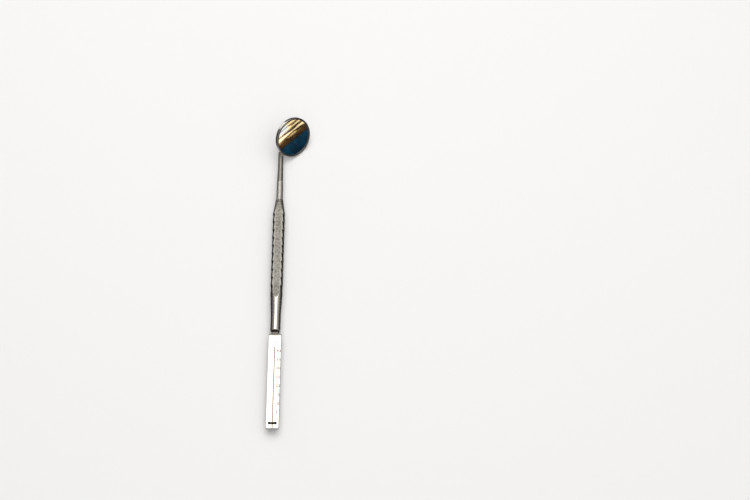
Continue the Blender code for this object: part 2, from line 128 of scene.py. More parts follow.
class Tree:
    """A node tree, with the few kinds of node that the finishes and the studio share."""

    def __init__(self, node_tree: bpy.types.NodeTree, coordinates: str) -> None:
        """Open a node tree.

        Args:
            node_tree: The tree.
            coordinates: The Texture Coordinate output that its patterns read.
        """
        self.nodes = node_tree.nodes
        self.links = node_tree.links
        self.place = self.nodes.new("ShaderNodeTexCoord").outputs[coordinates]

    def noise(self, scale: Sequence[float], detail: float = 3.0) -> bpy.types.NodeSocket:
        """Noise at a scale of its own along each axis.

        Args:
            scale: Grains for each unit along X, Y and Z.
            detail: How many finer layers it has.

        Returns:
            The noise's value, about 0.5 on average.
        """
        mapping = self.nodes.new("ShaderNodeMapping")
        mapping.inputs["Scale"].default_value = scale
        self.links.new(self.place, mapping.inputs["Vector"])
        noise = self.nodes.new("ShaderNodeTexNoise")
        noise.inputs["Scale"].default_value = 1.0
        noise.inputs["Detail"].default_value = detail
        self.links.new(mapping.outputs["Vector"], noise.inputs["Vector"])
        return noise.outputs["Fac"]

    def ranged(
        self,
        value: bpy.types.NodeSocket,
        source: Sequence[float],
        result: Sequence[float],
        way: str = "SMOOTHSTEP",
    ) -> bpy.types.NodeSocket:
        """A value carried from one range to another.

        Args:
            value: The value that is read.
            source: The low and high ends read.
            result: The low and high ends written.
            way: How it goes between them.

        Returns:
            The value in its new range.
        """
        ranging = self.nodes.new("ShaderNodeMapRange")
        ranging.interpolation_type = way
        ends = dict(zip(("From Min", "From Max", "To Min", "To Max"), (*source, *result)))
        for end, number in ends.items():
            ranging.inputs[end].default_value = number
        self.links.new(value, ranging.inputs["Value"])
        return ranging.outputs["Result"]

    def inside(
        self, *edges: tuple[bpy.types.NodeSocket, Ends, Ends]
    ) -> bpy.types.NodeSocket:
        """A value that is 1 inside some soft edges and 0 outside them.

        Args:
            edges: Each edge's value, the two ends read and the two ends written.

        Returns:
            The value.
        """
        inside = self.ranged(*edges[0])
        for edge in edges[1:]:
            inside = self.reckoned("MULTIPLY", inside, self.ranged(*edge))
        return inside

    def average(
        self, first: bpy.types.NodeSocket, second: bpy.types.NodeSocket
    ) -> bpy.types.NodeSocket:
        """The mean of two values."""
        return self.reckoned("MULTIPLY", self.reckoned("ADD", first, second), 0.5)

    def unsigned(self, value: bpy.types.NodeSocket) -> bpy.types.NodeSocket:
        """A value without its sign."""
        return self.reckoned("ABSOLUTE", value, 0.0)

    def reckoned(
        self, operation: str, first: bpy.types.NodeSocket, second: bpy.types.NodeSocket | float
    ) -> bpy.types.NodeSocket:
        """One step of arithmetic.

        Args:
            operation: The Math node's operation.
            first: The first value.
            second: The second value or number.

        Returns:
            The result.
        """
        step = self.nodes.new("ShaderNodeMath")
        step.operation = operation
        self.links.new(first, step.inputs[0])
        if isinstance(second, bpy.types.NodeSocket):
            self.links.new(second, step.inputs[1])
        else:
            step.inputs[1].default_value = second
        return step.outputs["Value"]

    def axis(self, letter: str) -> bpy.types.NodeSocket:
        """One of the coordinates, by its letter."""
        split = self.nodes.new("ShaderNodeSeparateXYZ")
        self.links.new(self.place, split.inputs["Vector"])
        return split.outputs[letter]

    def distance(self, centre: Sequence[float]) -> bpy.types.NodeSocket:
        """How far a place is from a point."""
        away = self.nodes.new("ShaderNodeVectorMath")
        away.operation = "DISTANCE"
        away.inputs[1].default_value = centre
        self.links.new(self.place, away.inputs[0])
        return away.outputs["Value"]

    def mixed(
        self,
        share: bpy.types.NodeSocket,
        first: bpy.types.NodeSocket | Colour,
        second: bpy.types.NodeSocket | Colour,
    ) -> bpy.types.NodeSocket:
        """A colour between two.

        Args:
            share: How much of the second, from 0 to 1.
            first: The colour at 0.
            second: The colour at 1.

        Returns:
            The colour.
        """
        mix = self.nodes.new("ShaderNodeMix")
        mix.data_type = "RGBA"
        self.links.new(share, mix.inputs["Factor"])
        for colour, letter in ((first, "A"), (second, "B")):
            socket = next(
                socket for socket in mix.inputs if socket.name == letter and socket.type == "RGBA"
            )
            if isinstance(colour, bpy.types.NodeSocket):
                self.links.new(colour, socket)
            else:
                socket.default_value = (*colour, 1.0)
        return next(socket for socket in mix.outputs if socket.type == "RGBA")

    def ramp(self, value: bpy.types.NodeSocket, stops: Stops) -> bpy.types.NodeSocket:
        """A colour ramp.

        Args:
            value: Where on the ramp, from 0 to 1.
            stops: Each stop's place and colour, in order.

        Returns:
            The colour.
        """
        node = self.nodes.new("ShaderNodeValToRGB")
        self.links.new(value, node.inputs["Fac"])
        elements = node.color_ramp.elements
        while len(elements) < len(stops):
            elements.new(1.0)
        for element, (position, colour) in zip(elements, stops):
            element.position = position
            element.color = (*colour, 1.0)
        return node.outputs["Color"]


class Surface(Tree):
    """A material's node tree round its Principled shader."""

    def __init__(self, name: str, metallic: float = 1.0) -> None:
        """Start a material.

        Args:
            name: The material's name.
            metallic: The shader's metallic value.
        """
        self.material = bpy.data.materials.new(name)
        self.material.use_nodes = True
        super().__init__(self.material.node_tree, "Object")
        self.shader = self.nodes["Principled BSDF"]
        self.shader.inputs["Metallic"].default_value = metallic

    def colour(self, value: bpy.types.NodeSocket) -> None:
        """Set the base colour."""
        self.links.new(value, self.shader.inputs["Base Color"])

    def roughness(self, value: bpy.types.NodeSocket) -> None:
        """Set the roughness."""
        self.links.new(value, self.shader.inputs["Roughness"])

    def relief(self, height: bpy.types.NodeSocket, depth: float, strength: float = 1.0) -> None:
        """Raise a fine relief on the surface.

        Args:
            height: The relief's height, from 0 to 1.
            depth: Its real depth in metres.
            strength: How much of it is felt.
        """
        bump = self.nodes.new("ShaderNodeBump")
        bump.inputs["Strength"].default_value = strength
        bump.inputs["Distance"].default_value = depth
        self.links.new(height, bump.inputs["Height"])
        self.links.new(bump.outputs["Normal"], self.shader.inputs["Normal"])


class Finish(ABC):
    """A finish that can make its own material."""

    @abstractmethod
    def material(self, name: str) -> bpy.types.Material:
        """Make the material.

        Args:
            name: The material's name.

        Returns:
            The material.
        """


@dataclass(frozen=True)
class GripSteel(Finish):
    """Stainless steel, satin-turned, and bead-blasted on the grip's two flats and the neck, with
    painted highlights along the flats' edges and painted shade between the beads.
    """

    axis_height: float
    flat_height: float
    flat_start: float
    slope: float
    flare_start: float
    flare_end: float
    grip_start: float
    root_radius: float
    crest_radius: float
    blasted: Colour = (0.35, 0.335, 0.30)
    blasted_shade: Colour = (0.14, 0.13, 0.115)
    worn_and_highlit: Colour = (0.48, 0.465, 0.42)
    neck: Colour = (0.62, 0.60, 0.55)
    neck_shade: Colour = (0.42, 0.40, 0.365)
    # painted shade: a near-black colour laid into the roots between the beads
    painted_root_shade: Colour = (0.10, 0.094, 0.085)
    turned: Colour = (0.68, 0.65, 0.60)
    turned_shade: Colour = (0.60, 0.57, 0.52)
    blasted_roughness: float = 0.5
    turned_roughness: float = 0.27
    grains: float = 3000.0
    blotches: float = 1000.0
    turning_lines: float = 9000.0
    round_the_bar: float = 60.0
    grain_depth: float = 0.014 * MM
    grain_strength: float = 0.6
    flat_mask: Ends = (-0.05 * MM, -0.01 * MM)
    flare_mask: float = 0.6 * MM
    neck_mask: float = 0.1 * MM
    highlit_from: Ends = (1.1 * MM, 2.2 * MM)
    highlit_share: float = 0.6
    uneven: float = 0.05

    def material(self, name: str) -> bpy.types.Material:
        """Make the material: grains and blotches on the flats, fine rings on what was turned, and
        painted shade in the roots between the beads.
        """
        surface = Surface(name)
        aside, along, up = (surface.axis(letter) for letter in "XYZ")
        height = surface.unsigned(surface.reckoned("SUBTRACT", up, self.axis_height))
        before = surface.reckoned("MULTIPLY", along, -1.0)
        before = surface.reckoned("ADD", before, self.flat_start)
        rise = surface.reckoned(
            "MULTIPLY", surface.reckoned("MAXIMUM", before, 0.0), self.slope
        )
        over = surface.reckoned(
            "SUBTRACT", surface.reckoned("SUBTRACT", height, rise), self.flat_height
        )
        flared = surface.ranged(along, (self.flare_start - self.flare_mask, self.flare_start), ON)
        flat = surface.ranged(over, self.flat_mask, ON)
        flat = surface.reckoned("MAXIMUM", flat, flared)
        grain = surface.noise((self.grains,) * 3, PLAIN)
        blotch = surface.noise((self.blotches,) * 3)
        rings = surface.noise((self.round_the_bar, self.turning_lines, self.round_the_bar), PLAIN)
        mottle = surface.average(grain, blotch)
        spread = surface.ranged(mottle, CORE, ON)
        blasted = surface.mixed(spread, self.blasted_shade, self.blasted)
        # painted highlight, partly edge wear: the flats paler towards their long edges
        edge_highlight = surface.ranged(
            surface.unsigned(aside), self.highlit_from, (0.0, self.highlit_share)
        )
        blasted = surface.mixed(edge_highlight, blasted, self.worn_and_highlit)
        necked = surface.ranged(
            along, (self.flare_end - self.neck_mask, self.flare_end + self.neck_mask), ON
        )
        bright = surface.mixed(spread, self.neck_shade, self.neck)
        blasted = surface.mixed(necked, blasted, bright)
        ringed = surface.mixed(rings, self.turned_shade, self.turned)
        # painted shade: the turned steel darkened towards the roots between the beads
        ringed = surface.mixed(self.in_roots(surface), ringed, self.painted_root_shade)
        surface.colour(surface.mixed(flat, ringed, blasted))
        base = surface.ranged(flat, ON, (self.turned_roughness, self.blasted_roughness))
        ripple = surface.ranged(mottle, MOST, (-self.uneven, self.uneven))
        surface.roughness(surface.reckoned("ADD", base, ripple))
        relief = surface.mixed(flat, rings, grain)
        surface.relief(relief, self.grain_depth, self.grain_strength)
        return surface.material

    def in_roots(self, surface: Surface) -> bpy.types.NodeSocket:
        """How far down between the beads a place lies, for the painted shade in the roots.

        Args:
            surface: The material's tree.

        Returns:
            1 in the roots, 0 on the crests and off the grip.
        """
        away = surface.nodes.new("ShaderNodeVectorMath")
        away.operation = "MULTIPLY_ADD"
        away.inputs[1].default_value = (1.0, 0.0, 1.0)
        away.inputs[2].default_value = (0.0, 0.0, -self.axis_height)
        surface.links.new(surface.place, away.inputs[0])
        length = surface.nodes.new("ShaderNodeVectorMath")
        length.operation = "LENGTH"
        surface.links.new(away.outputs["Vector"], length.inputs[0])
        deep = surface.ranged(
            length.outputs["Value"], (self.root_radius, self.crest_radius), OFF, "LINEAR"
        )
        along = surface.axis("Y")
        on_grip = surface.inside(
            (along, (self.grip_start, self.grip_start + MM), ON),
            (along, (self.flare_start - MM, self.flare_start), OFF),
        )
        return surface.reckoned("MULTIPLY", deep, on_grip)


@dataclass(frozen=True)
class BrushedSteel(Finish):
    """Bright steel, ground along the blade, with a stain down in the groove."""

    face_height: float
    groove_half: float
    light: Colour = (0.68, 0.67, 0.645)
    shade: Colour = (0.60, 0.59, 0.565)
    stain: Colour = (0.56, 0.42, 0.31)
    smooth: float = 0.20
    rough: float = 0.32
    dulled: float = 0.45
    scratches: tuple[float, float, float] = (7000.0, 260.0, 7000.0)
    clouds: tuple[float, float, float] = (300.0, 120.0, 300.0)
    scratch_depth: float = 0.004 * MM
    scratch_strength: float = 0.5
    groove_edge: float = 0.8
    stain_top: Ends = (0.14 * MM, 0.04 * MM)
    stain_foot: Ends = (0.9 * MM, 0.6 * MM)
    stain_metallic: float = 0.2

    def material(self, name: str) -> bpy.types.Material:
        """Make the material: long fine scratches in colour, gloss and relief, and the stain."""
        surface = Surface(name)
        scratches = surface.noise(self.scratches, FINE)
        cloud = surface.noise(self.clouds, PLAIN)
        steel = surface.mixed(scratches, self.shade, self.light)
        aside = surface.unsigned(surface.axis("X"))
        under = surface.reckoned("SUBTRACT", surface.axis("Z"), self.face_height)
        top, foot = (tuple(-end for end in ends) for ends in (self.stain_top, self.stain_foot))
        stained = surface.inside(
            (aside, (self.groove_half * self.groove_edge, self.groove_half), OFF),
            (under, top, OFF),
            (under, foot, ON),
        )
        surface.colour(surface.mixed(stained, steel, self.stain))
        metallic = surface.ranged(stained, ON, (1.0, self.stain_metallic))
        surface.links.new(metallic, surface.shader.inputs["Metallic"])
        gloss = surface.ranged(
            surface.average(scratches, cloud), MOST, (self.smooth, self.rough)
        )
        dulled = surface.reckoned("MULTIPLY", stained, self.dulled)
        surface.roughness(surface.reckoned("ADD", gloss, dulled))
        surface.relief(scratches, self.scratch_depth, self.scratch_strength)
        return surface.material


@dataclass(frozen=True)
class PolishedSteel(Finish):
    """Polished stainless steel with the faint rings or smears of the wheel."""

    light: Colour = (0.62, 0.60, 0.565)
    shade: Colour = (0.52, 0.50, 0.465)
    smooth: float = 0.08
    rough: float = 0.17
    grain: tuple[float, float, float] = (2400.0, 2400.0, 2400.0)
    smears: float = 420.0
    span: Ends = (0.32, 0.68)
    wave_depth: float = 0.0035 * MM
    wave_strength: float = 0.35

    def material(self, name: str) -> bpy.types.Material:
        """Make the material: faint smears in colour and gloss over a very shallow waviness."""
        surface = Surface(name)
        fine = surface.noise(self.grain, FINE)
        smear = surface.noise((self.smears,) * 3)
        surface.colour(self.tinted(surface, surface.mixed(smear, self.shade, self.light)))
        gloss = surface.ranged(surface.average(fine, smear), self.span, (self.smooth, self.rough))
        surface.roughness(gloss)
        surface.relief(fine, self.wave_depth, self.wave_strength)
        return surface.material

    def tinted(self, surface: Surface, steel: bpy.types.NodeSocket) -> bpy.types.NodeSocket:
        """The steel's colour with any painted shade laid over it, which on bare steel is none."""
        return steel


@dataclass(frozen=True)
class CupSteel(PolishedSteel):
    """Polished steel, with a painted dark reflection on the lip that was rolled over the glass."""

    centre: tuple[float, float, float] = (0.0, 0.0, 0.0)
    lip_radius: float = 0.0
    # painted dark reflection on the lip's face
    lip: Colour = (0.14, 0.135, 0.125)
    lip_edge: Ends = (0.3 * MM, 0.1 * MM)

    def tinted(self, surface: Surface, steel: bpy.types.NodeSocket) -> bpy.types.NodeSocket:
        """The steel's colour, with a painted dark reflection on the lip's face."""
        ends = tuple(self.lip_radius - inwards for inwards in self.lip_edge)
        rolled = surface.ranged(surface.distance(self.centre), ends, OFF)
        return surface.mixed(rolled, steel, self.lip)


@dataclass(frozen=True)
class DarkMetal(Finish):
    """A dark or tarnished metal with small pits."""

    light: Colour
    shade: Colour
    smooth: float = 0.3
    rough: float = 0.55
    pits: float = 3000.0
    tarnish: float = 750.0
    pit_depth: float = 0.015 * MM
    pit_strength: float = 0.7

    def material(self, name: str) -> bpy.types.Material:
        """Make the material: tarnish in colour and gloss, and pits in relief."""
        surface = Surface(name)
        pits = surface.noise((self.pits,) * 3, FINE)
        tarnish = surface.ranged(surface.noise((self.tarnish,) * 3), MIDDLE, ON)
        surface.colour(surface.mixed(tarnish, self.shade, self.light))
        surface.roughness(surface.ranged(pits, MOST, (self.smooth, self.rough)))
        surface.relief(pits, self.pit_depth, self.pit_strength)
        return surface.material


@dataclass(frozen=True)
class MirrorCoating(Finish):
    """The reflecting coat on the glass's face, with the ground grey edge of the glass round it."""

    centre: tuple[float, float, float]
    edge_radius: float
    coat: Colour = (0.88, 0.895, 0.91)
    haze: Colour = (0.84, 0.86, 0.88)
    ground: Colour = (0.30, 0.32, 0.33)
    haze_size: float = 160.0
    gloss: float = 0.012
    ground_roughness: float = 0.45
    edge_blur: float = 0.05 * MM

    def material(self, name: str) -> bpy.types.Material:
        """Make the material: a flawless coat inside the edge's radius, ground glass outside it."""
        surface = Surface(name)
        ends = (self.edge_radius, self.edge_radius + self.edge_blur)
        edge = surface.ranged(surface.distance(self.centre), ends, ON)
        haze = surface.noise((self.haze_size,) * 3, PLAIN)
        coated = surface.mixed(haze, self.haze, self.coat)
        surface.colour(surface.mixed(edge, coated, self.ground))
        surface.roughness(surface.ranged(edge, ON, (self.gloss, self.ground_roughness)))
        return surface.material


@dataclass(frozen=True)
class MarkingInk(Finish):
    """The darkened lines and figures of the scale, paler where the blade has been wiped."""

    worn: Colour = (0.42, 0.27, 0.21)
    dark: Colour = (0.20, 0.13, 0.10)
    wear: float = 700.0
    smooth: float = 0.5
    rough: float = 0.7

    def material(self, name: str) -> bpy.types.Material:
        """Make the material: an oxide brown that varies from mark to mark."""
        surface = Surface(name, 0.0)
        wear = surface.noise((self.wear,) * 3)
        surface.colour(surface.mixed(surface.ranged(wear, MIDDLE, ON), self.dark, self.worn))
        surface.roughness(surface.ranged(wear, MOST, (self.smooth, self.rough)))
        return surface.material


@dataclass(frozen=True)
class MattSheet(Finish):
    """A matt sheet or resin with a faint grain, for the pieces inside the cup."""

    light: Colour
    shade: Colour
    smooth: float
    rough: float
    cells: float = 2600.0
    cell_depth: float = 0.02 * MM
    cell_strength: float = 0.5

    def material(self, name: str) -> bpy.types.Material:
        """Make the material: small cells in colour and relief."""
        surface = Surface(name, 0.0)
        cells = surface.noise((self.cells,) * 3)
        surface.colour(surface.mixed(cells, self.shade, self.light))
        surface.roughness(surface.ranged(cells, MOST, (self.smooth, self.rough)))
        surface.relief(cells, self.cell_depth, self.cell_strength)
        return surface.material


# painted shade: the stem's steel is darkened to stand for the darker reflection it shows beside the
# mirror head
STEM_STEEL_WITH_PAINTED_SHADE = PolishedSteel(
    light=(0.38, 0.35, 0.315),
    shade=(0.20, 0.18, 0.16),
    smooth=0.38,
    rough=0.52,
    grain=(900.0, 2600.0, 900.0),
)
WELD_STEEL = PolishedSteel(
    light=(0.60, 0.57, 0.52), shade=(0.45, 0.42, 0.38), smooth=0.25, rough=0.42
)
STOP_METAL = DarkMetal(
    light=(0.034, 0.028, 0.026), shade=(0.010, 0.008, 0.0075), smooth=0.42, rough=0.62
)
# near-black partly for the braze's own metal, partly painted shade at the step from the shaft to
# the blade
BRAZE_WITH_PAINTED_SHADE = DarkMetal(
    light=(0.055, 0.045, 0.04), shade=(0.018, 0.015, 0.013), smooth=0.42, rough=0.62
)
PAD_SHEET = MattSheet(
    light=(0.82, 0.81, 0.76), shade=(0.70, 0.69, 0.63), smooth=0.72, rough=0.88
)
SEAL_RESIN = MattSheet(
    light=(0.18, 0.17, 0.16), shade=(0.11, 0.10, 0.10), smooth=0.42, rough=0.58
)


# ---------------------------------------------------------------------------------------------
# Shapes
# ---------------------------------------------------------------------------------------------


def eased(share: float) -> float:
    """A share from 0 to 1 with a level start and end."""
    return share * share * (3 - 2 * share)


def run(start: float, end: float, steps: int) -> list[float]:
    """Evenly spaced values from start up to, and without, end."""
    return [start + (end - start) * step / steps for step in range(steps)]


def swept(
    start: Ends, end: Ends, steps: int, ease: Callable[[float], float] = eased
) -> Outline:
    """A run of an outline from one point up to, and without, another.

    Args:
        start: The first point's place and radius.
        end: The last point's place and radius.
        steps: How many points it has.
        ease: How the radius goes from the first to the last.

    Returns:
        The points, evenly spaced along the axis.
    """
    return [
        (start[0] + (end[0] - start[0]) * share, start[1] + (end[1] - start[1]) * ease(share))
        for share in run(0, 1, steps)
    ]


def filleted(corners: Sequence[tuple[float, float, float]], steps: int = 6) -> Outline:
    """An outline with its corners rounded by arcs.

    Args:
        corners: Each corner's two coordinates and the radius of its arc, 0 for a sharp one.
        steps: The pieces in each arc.

    Returns:
        The outline's points. Its first and last corners stay sharp.
    """
    points: Outline = []
    for index, (first, second, radius) in enumerate(corners):
        corner = Vector((first, second))
        if radius == 0 or index in (0, len(corners) - 1):
            points.append((corner.x, corner.y))
            continue
        back = (Vector(corners[index - 1][:2]) - corner).normalized()
        ahead = (Vector(corners[index + 1][:2]) - corner).normalized()
        half = back.angle(ahead) / 2
        centre = corner + (back + ahead).normalized() * radius / math.sin(half)
        start = corner + back * radius / math.tan(half) - centre
        end = corner + ahead * radius / math.tan(half) - centre
        swing = start.angle_signed(end)
        for step in range(steps + 1):
            point = centre + Matrix.Rotation(-swing * step / steps, 2) @ start
            points.append((point.x, point.y))
    return points


def ringed(outline: Outline, low: float, high: float, spacing: float) -> Outline:
    """An outline with its long runs split, so that it has close rings between two places.

    Args:
        outline: Points as (distance along the axis, radius).
        low: Where the close rings start.
        high: Where they end.
        spacing: How far apart they may stand.

    Returns:
        The outline with the added points.
    """
    points = [outline[0]]
    for (start, first), (end, second) in zip(outline, outline[1:]):
        count = math.ceil(abs(end - start) / spacing) if low <= start and end <= high else 1
        for share in run(0, 1, count)[1:] + [1.0]:
            points.append((start + (end - start) * share, first + (second - first) * share))
    return points


def turned(outline: Outline, steps: int, axis: Vector) -> bmesh.types.BMesh:
    """A surface of revolution.

    Args:
        outline: Points as (distance along the axis, radius).
        steps: The faces round it.
        axis: The direction of the axis, Y or Z.

    Returns:
        The turned mesh, closed where the outline starts and ends on the axis.
    """
    shape = bmesh.new()
    points = [shape.verts.new(axis * place + Vector((radius, 0, 0))) for place, radius in outline]
    edges = [shape.edges.new(pair) for pair in zip(points, points[1:])]
    bmesh.ops.spin(
        shape,
        geom=points + edges,
        cent=(0, 0, 0),
        axis=axis,
        angle=math.tau,
        steps=steps,
        use_merge=True,
    )
    bmesh.ops.remove_doubles(shape, verts=shape.verts[:], dist=MERGE)
    return shape


def ring_at(shape: bmesh.types.BMesh, place: float) -> list[bmesh.types.BMEdge]:
    """The open edges that lie at one place along Y."""
    return [
        edge
        for edge in shape.edges
        if edge.is_boundary and all(abs(vertex.co.y - place) < MERGE * 4 for vertex in edge.verts)
    ]


def window_in(
    shape: bmesh.types.BMesh, size: Ends, place: float
) -> list[bmesh.types.BMEdge]:
    """Close an open end down to a rectangular window in its own plane.

    Args:
        shape: The mesh with the open end.
        size: The window's size along X and Z.
        place: The end's place along Y.

    Returns:
        The window's four edges.
    """
    ring = ring_at(shape, place)
    width, height = size
    corners = [
        shape.verts.new((across * width / 2, place, up * height / 2))
        for across, up in ((-1, -1), (1, -1), (1, 1), (-1, 1))
    ]
    window = [shape.edges.new(pair) for pair in zip(corners, corners[1:] + corners[:1])]
    bmesh.ops.bridge_loops(shape, edges=ring + window)
    return window


def prism(outline: Outline, low: float, height: float) -> bmesh.types.BMesh:
    """A flat outline in X and Y, extruded upwards.

    Args:
        outline: The outline's points.
        low: The underside's height.
        height: The thickness.

    Returns:
        The closed mesh.
    """
    shape = bmesh.new()
    face = shape.faces.new([shape.verts.new((x, y, low)) for x, y in outline])
    grown = bmesh.ops.extrude_face_region(shape, geom=[face])
    raised = [item for item in grown["geom"] if isinstance(item, bmesh.types.BMVert)]
    bmesh.ops.translate(shape, verts=raised, vec=(0, 0, height))
    return shape


def cut_edge(
    shape: bmesh.types.BMesh, faces: Iterable[bmesh.types.BMFace], point: Vector, normal: Vector
) -> None:
    """Add an edge to some of a mesh's faces where a plane crosses them.

    Args:
        shape: The mesh.
        faces: The faces that may be cut.
        point: A point on the plane.
        normal: The plane's normal.
    """
    chosen = list(faces)
    edges = {edge for face in chosen for edge in face.edges}
    vertices = {vertex for face in chosen for vertex in face.verts}
    bmesh.ops.bisect_plane(
        shape,
        geom=chosen + list(edges) + list(vertices),
        dist=MERGE / 2,
        plane_co=point,
        plane_no=normal,
    )


def bevelled(shape: bmesh.types.BMesh, edges: Sequence[bmesh.types.BMEdge], width: float) -> None:
    """Round some edges off by a small width."""
    bmesh.ops.bevel(
        shape,
        geom=list(edges),
        offset=width,
        segments=3,
        profile=0.5,
        affect="EDGES",
        material=-1,
        clamp_overlap=True,
    )


@dataclass
class Maker:
    """Turns finished meshes into pieces of one body."""

    body: Body

    def piece(
        self,
        name: str,
        shape: bmesh.types.BMesh,
        place: Matrix,
        finish: Finish,
        slot: Slot | None,
        nodes: Sequence[str] = (),
        crease: float = CREASE,
    ) -> bpy.types.Object:
        """Make a piece from a mesh.

        Args:
            name: The piece's name.
            shape: Its mesh, which is used up.
            place: Where the mesh's own frame stands.
            finish: Its finish.
            slot: The record's slot, if it takes its finish from one. It is not used.
            nodes: The frame's nodes that it stands for.
            crease: The angle over which an edge stays sharp.

        Returns:
            The piece.
        """
        bmesh.ops.remove_doubles(shape, verts=shape.verts[:], dist=MERGE)
        bmesh.ops.recalc_face_normals(shape, faces=shape.faces[:])
        bmesh.ops.transform(shape, matrix=place, verts=shape.verts[:])
        for edge in shape.edges:
            if edge.calc_face_angle(math.pi) > crease:
                edge.smooth = False
        for face in shape.faces:
            face.smooth = True
        mesh = bpy.data.meshes.new(name)
        shape.to_mesh(mesh)
        shape.free()
        mesh.materials.append(finish.material(name))
        made = bpy.data.objects.new(name, mesh)
        bpy.context.scene.collection.objects.link(made)
        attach(made, self.body.value)
        if nodes:
            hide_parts(*nodes)
        LOG.info("%s: %d faces on body %s", name, len(mesh.polygons), self.body.value)
        return made

    def dress(self, node: str, finish: Finish) -> None:
        """Give a node of the frame, which shows as it is, its finish."""
        mesh = frame["nodes"][node].data
        mesh.materials.clear()
        mesh.materials.append(finish.material(node))
        LOG.info("%s: dressed as it stands", node)


# ---------------------------------------------------------------------------------------------
# Handle
# ---------------------------------------------------------------------------------------------


